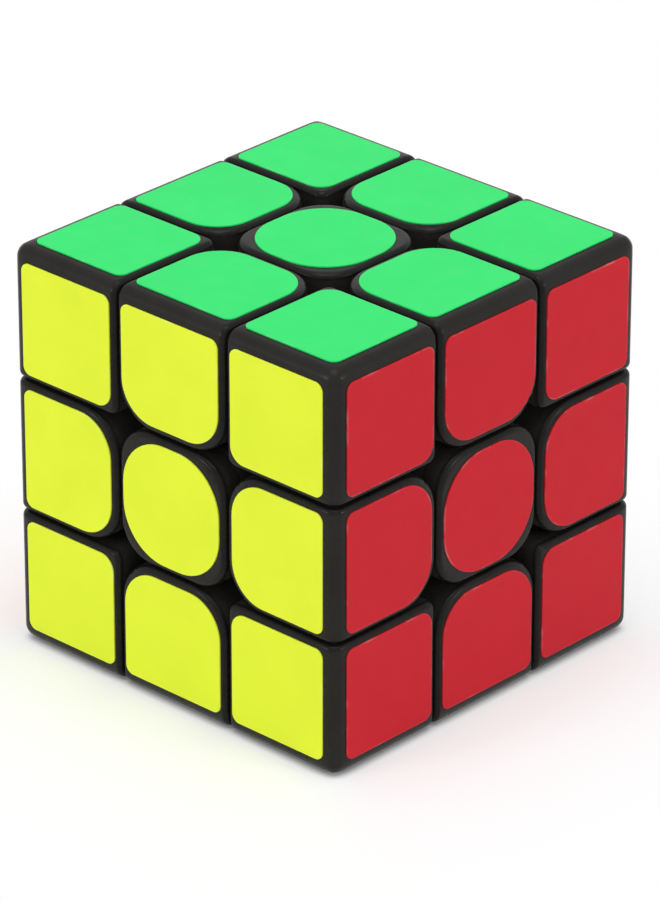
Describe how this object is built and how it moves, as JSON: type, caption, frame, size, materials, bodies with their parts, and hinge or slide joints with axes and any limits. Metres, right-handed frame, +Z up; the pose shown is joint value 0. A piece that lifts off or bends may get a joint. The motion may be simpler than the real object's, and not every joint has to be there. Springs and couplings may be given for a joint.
{
  "type": "twisty puzzle cube",
  "caption": "Black plastic twisty puzzle cube with coloured stickers, whose outer layers turn about a sprung six-armed core.",
  "frame": {"origin": "middle of the core, where the six turning axes meet", "axes": "+Z up out of the green face, +X out of the red face, -Y out of the yellow face"},
  "size_m": [0.056, 0.056, 0.056],
  "materials": {
    "black_plastic": "satin moulded black",
    "core_plastic": "plain moulded off-white",
    "spring_steel": "zinc plated steel",
    "sticker_green": "satin vinyl, bright green",
    "sticker_yellow": "satin vinyl, lemon yellow",
    "sticker_red": "satin vinyl, red",
    "sticker_blue": "satin vinyl, blue",
    "sticker_white": "satin vinyl, white",
    "sticker_orange": "satin vinyl, orange"
  },
  "bodies": {
    "core": {"core_spider": "core_plastic", "tension_screw_sets": "spring_steel"},
    "left centre": {"centre_base_left": "black_plastic", "centre_cap_left": "black_plastic", "centre_sticker_left": "sticker_orange"},
    "front centre": {"centre_base_front": "black_plastic", "centre_cap_front": "black_plastic", "centre_sticker_front": "sticker_yellow"},
    "bottom centre": {"centre_base_bottom": "black_plastic", "centre_cap_bottom": "black_plastic", "centre_sticker_bottom": "sticker_blue"},
    "top centre": {"centre_base_top": "black_plastic", "centre_cap_top": "black_plastic", "centre_sticker_top": "sticker_green"},
    "back centre": {"centre_base_back": "black_plastic", "centre_cap_back": "black_plastic", "centre_sticker_back": "sticker_white"},
    "right centre": {"centre_base_right": "black_plastic", "centre_cap_right": "black_plastic", "centre_sticker_right": "sticker_red"},
    "front left edge": {"edge_front_left": "black_plastic", "edge_stickers_front_left": "sticker_yellow"},
    "bottom left edge": {"edge_bottom_left": "black_plastic", "edge_stickers_bottom_left": "sticker_blue"},
    "top left edge": {"edge_top_left": "black_plastic", "edge_stickers_top_left": "sticker_green"},
    "back left edge": {"edge_back_left": "black_plastic", "edge_stickers_back_left": "sticker_white"},
    "bottom front edge": {"edge_bottom_front": "black_plastic", "edge_stickers_bottom_front": "sticker_blue"},
    "top front edge": {"edge_top_front": "black_plastic", "edge_stickers_top_front": "sticker_green"},
    "bottom back edge": {"edge_bottom_back": "black_plastic", "edge_stickers_bottom_back": "sticker_blue"},
    "top back edge": {"edge_top_back": "black_plastic", "edge_stickers_top_back": "sticker_green"},
    "front right edge": {"edge_front_right": "black_plastic", "edge_stickers_front_right": "sticker_yellow"},
    "bottom right edge": {"edge_bottom_right": "black_plastic", "edge_stickers_bottom_right": "sticker_blue"},
    "top right edge": {"edge_top_right": "black_plastic", "edge_stickers_top_right": "sticker_green"},
    "back right edge": {"edge_back_right": "black_plastic", "edge_stickers_back_right": "sticker_white"},
    "bottom front left corner": {"corner_bottom_front_left": "black_plastic", "corner_stickers_bottom_front_left": "sticker_blue"},
    "top front left corner": {"corner_top_front_left": "black_plastic", "corner_stickers_top_front_left": "sticker_green"},
    "bottom back left corner": {"corner_bottom_back_left": "black_plastic", "corner_stickers_bottom_back_left": "sticker_blue"},
    "top back left corner": {"corner_top_back_left": "black_plastic", "corner_stickers_top_back_left": "sticker_green"},
    "bottom front right corner": {"corner_bottom_front_right": "black_plastic", "corner_stickers_bottom_front_right": "sticker_blue"},
    "top front right corner": {"corner_top_front_right": "black_plastic", "corner_stickers_top_front_right": "sticker_green"},
    "bottom back right corner": {"corner_bottom_back_right": "black_plastic", "corner_stickers_bottom_back_right": "sticker_blue"},
    "top back right corner": {"corner_top_back_right": "black_plastic", "corner_stickers_top_back_right": "sticker_green"}
  },
  "joints": [
    {"name": "left_turn", "type": "hinge", "parent": "core", "child": "left centre", "pos_m": [0, 0, 0], "axis": [1, 0, 0], "continuous": true},
    {"name": "right_turn", "type": "hinge", "parent": "core", "child": "right centre", "pos_m": [0, 0, 0], "axis": [1, 0, 0], "continuous": true},
    {"name": "front_turn", "type": "hinge", "parent": "core", "child": "front centre", "pos_m": [0, 0, 0], "axis": [0, 1, 0], "continuous": true},
    {"name": "back_turn", "type": "hinge", "parent": "core", "child": "back centre", "pos_m": [0, 0, 0], "axis": [0, 1, 0], "continuous": true},
    {"name": "bottom_turn", "type": "hinge", "parent": "core", "child": "bottom centre", "pos_m": [0, 0, 0], "axis": [0, 0, 1], "continuous": true},
    {"name": "top_turn", "type": "hinge", "parent": "core", "child": "top centre", "pos_m": [0, 0, 0], "axis": [0, 0, 1], "continuous": true},
    {"name": "front_left_with_front", "type": "hinge", "parent": "left centre", "child": "front left edge", "pos_m": [0, 0, 0], "axis": [0, 1, 0], "continuous": true},
    {"name": "bottom_left_with_left", "type": "hinge", "parent": "bottom centre", "child": "bottom left edge", "pos_m": [0, 0, 0], "axis": [1, 0, 0], "continuous": true},
    {"name": "top_left_with_left", "type": "hinge", "parent": "top centre", "child": "top left edge", "pos_m": [0, 0, 0], "axis": [1, 0, 0], "continuous": true},
    {"name": "back_left_with_back", "type": "hinge", "parent": "left centre", "child": "back left edge", "pos_m": [0, 0, 0], "axis": [0, 1, 0], "continuous": true},
    {"name": "bottom_front_with_bottom", "type": "hinge", "parent": "front centre", "child": "bottom front edge", "pos_m": [0, 0, 0], "axis": [0, 0, 1], "continuous": true},
    {"name": "top_front_with_top", "type": "hinge", "parent": "front centre", "child": "top front edge", "pos_m": [0, 0, 0], "axis": [0, 0, 1], "continuous": true},
    {"name": "bottom_back_with_bottom", "type": "hinge", "parent": "back centre", "child": "bottom back edge", "pos_m": [0, 0, 0], "axis": [0, 0, 1], "continuous": true},
    {"name": "top_back_with_top", "type": "hinge", "parent": "back centre", "child": "top back edge", "pos_m": [0, 0, 0], "axis": [0, 0, 1], "continuous": true},
    {"name": "front_right_with_front", "type": "hinge", "parent": "right centre", "child": "front right edge", "pos_m": [0, 0, 0], "axis": [0, 1, 0], "continuous": true},
    {"name": "bottom_right_with_right", "type": "hinge", "parent": "bottom centre", "child": "bottom right edge", "pos_m": [0, 0, 0], "axis": [1, 0, 0], "continuous": true},
    {"name": "top_right_with_right", "type": "hinge", "parent": "top centre", "child": "top right edge", "pos_m": [0, 0, 0], "axis": [1, 0, 0], "continuous": true},
    {"name": "back_right_with_back", "type": "hinge", "parent": "right centre", "child": "back right edge", "pos_m": [0, 0, 0], "axis": [0, 1, 0], "continuous": true},
    {"name": "bottom_front_left_with_bottom", "type": "hinge", "parent": "front left edge", "child": "bottom front left corner", "pos_m": [0, 0, 0], "axis": [0, 0, 1], "continuous": true},
    {"name": "top_front_left_with_top", "type": "hinge", "parent": "front left edge", "child": "top front left corner", "pos_m": [0, 0, 0], "axis": [0, 0, 1], "continuous": true},
    {"name": "bottom_back_left_with_bottom", "type": "hinge", "parent": "back left edge", "child": "bottom back left corner", "pos_m": [0, 0, 0], "axis": [0, 0, 1], "continuous": true},
    {"name": "top_back_left_with_top", "type": "hinge", "parent": "back left edge", "child": "top back left corner", "pos_m": [0, 0, 0], "axis": [0, 0, 1], "continuous": true},
    {"name": "bottom_front_right_with_bottom", "type": "hinge", "parent": "front right edge", "child": "bottom front right corner", "pos_m": [0, 0, 0], "axis": [0, 0, 1], "continuous": true},
    {"name": "top_front_right_with_top", "type": "hinge", "parent": "front right edge", "child": "top front right corner", "pos_m": [0, 0, 0], "axis": [0, 0, 1], "continuous": true},
    {"name": "bottom_back_right_with_bottom", "type": "hinge", "parent": "back right edge", "child": "bottom back right corner", "pos_m": [0, 0, 0], "axis": [0, 0, 1], "continuous": true},
    {"name": "top_back_right_with_top", "type": "hinge", "parent": "back right edge", "child": "top back right corner", "pos_m": [0, 0, 0], "axis": [0, 0, 1], "continuous": true}
  ],
  "couplings": [
    {"joint": "front_left_with_front", "follows": "front_turn", "ratio": 1},
    {"joint": "bottom_left_with_left", "follows": "left_turn", "ratio": 1},
    {"joint": "top_left_with_left", "follows": "left_turn", "ratio": 1},
    {"joint": "back_left_with_back", "follows": "back_turn", "ratio": 1},
    {"joint": "bottom_front_with_bottom", "follows": "bottom_turn", "ratio": 1},
    {"joint": "top_front_with_top", "follows": "top_turn", "ratio": 1},
    {"joint": "bottom_back_with_bottom", "follows": "bottom_turn", "ratio": 1},
    {"joint": "top_back_with_top", "follows": "top_turn", "ratio": 1},
    {"joint": "front_right_with_front", "follows": "front_turn", "ratio": 1},
    {"joint": "bottom_right_with_right", "follows": "right_turn", "ratio": 1},
    {"joint": "top_right_with_right", "follows": "right_turn", "ratio": 1},
    {"joint": "back_right_with_back", "follows": "back_turn", "ratio": 1},
    {"joint": "bottom_front_left_with_bottom", "follows": "bottom_turn", "ratio": 1},
    {"joint": "top_front_left_with_top", "follows": "top_turn", "ratio": 1},
    {"joint": "bottom_back_left_with_bottom", "follows": "bottom_turn", "ratio": 1},
    {"joint": "top_back_left_with_top", "follows": "top_turn", "ratio": 1},
    {"joint": "bottom_front_right_with_bottom", "follows": "bottom_turn", "ratio": 1},
    {"joint": "top_front_right_with_top", "follows": "top_turn", "ratio": 1},
    {"joint": "bottom_back_right_with_bottom", "follows": "bottom_turn", "ratio": 1},
    {"joint": "top_back_right_with_top", "follows": "top_turn", "ratio": 1}
  ]
}
